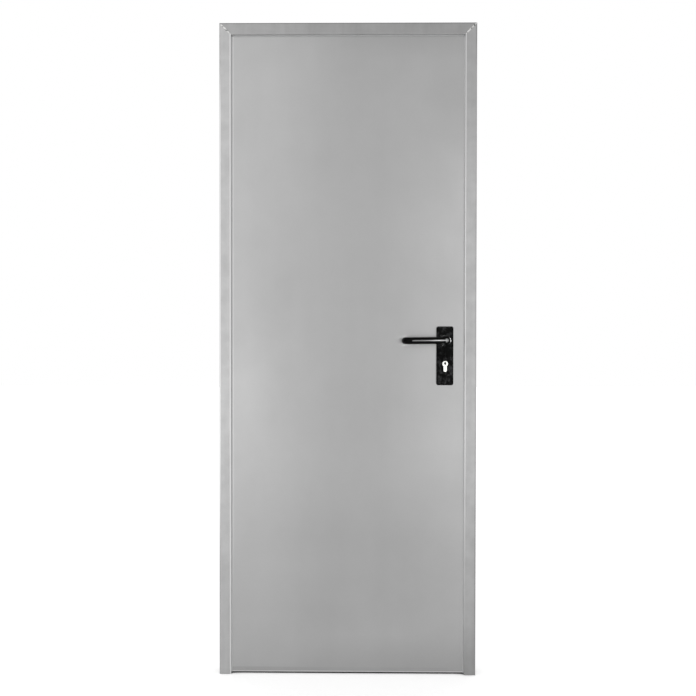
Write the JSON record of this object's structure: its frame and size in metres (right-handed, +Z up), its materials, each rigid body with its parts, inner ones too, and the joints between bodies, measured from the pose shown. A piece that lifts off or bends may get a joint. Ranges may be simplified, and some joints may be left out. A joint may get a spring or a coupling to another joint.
{
  "type": "steel utility door",
  "caption": "Plain galvanised steel utility door: folded frame with mitred top corners, flush leaf opening to the back, lever handles on plates and a profile cylinder lock.",
  "frame": {"origin": "at floor level on the hinge jamb's wall side, on the lip that lies against the wall, 5 mm behind the frame's front face", "axes": "+X across the doorway from the hinge jamb to the lock jamb, +Y to the back, the way the leaf opens, +Z up"},
  "size_m": [0.79, 0.165, 2.005],
  "materials": {
    "galvanised_steel": "satin",
    "zinc_plated_steel": "satin",
    "black_nylon": "satin",
    "nickel_plated_brass": "satin",
    "brass": "satin"
  },
  "bodies": {
    "frame": {"hinge_jamb": "galvanised_steel", "lock_jamb": "galvanised_steel", "head_jamb": "galvanised_steel", "hinge_side_spacers": "zinc_plated_steel", "lock_side_spacers": "zinc_plated_steel", "strike_box": "zinc_plated_steel", "upper_frame_knuckle": "zinc_plated_steel", "lower_frame_knuckle": "zinc_plated_steel", "upper_hinge_pin": "zinc_plated_steel", "lower_hinge_pin": "zinc_plated_steel", "upper_hinge_washer": "brass", "lower_hinge_washer": "brass"},
    "leaf": {"front_skin": "galvanised_steel", "back_skin": "galvanised_steel", "lock_forend": "zinc_plated_steel", "lock_case": "zinc_plated_steel", "latch_bolt": "zinc_plated_steel", "dead_bolt": "zinc_plated_steel", "cylinder_body": "nickel_plated_brass", "back_plug": "nickel_plated_brass", "front_plate": "black_nylon", "back_plate": "black_nylon", "upper_leaf_knuckle": "zinc_plated_steel", "lower_leaf_knuckle": "zinc_plated_steel"},
    "levers": {"front_lever": "black_nylon", "back_lever": "black_nylon", "spindle": "zinc_plated_steel"},
    "front_plug": {"front_plug": "nickel_plated_brass"}
  },
  "joints": [
    {"name": "leaf_swing", "type": "hinge", "parent": "frame", "child": "leaf", "pos_m": [0.0265, 0.058, 0], "axis": [0, 0, 1], "range_deg": [0, 170]},
    {"name": "lever_turn", "type": "hinge", "parent": "leaf", "child": "levers", "pos_m": [0.694, 0.026, 1.033], "axis": [0, -1, 0], "range_deg": [0, 42], "stiffness_Nm_per_rad": 1.5, "springref_deg": -20.05},
    {"name": "key_turn", "type": "hinge", "parent": "leaf", "child": "front_plug", "pos_m": [0.694, 0.0055, 0.961], "axis": [0, 1, 0], "continuous": true}
  ]
}
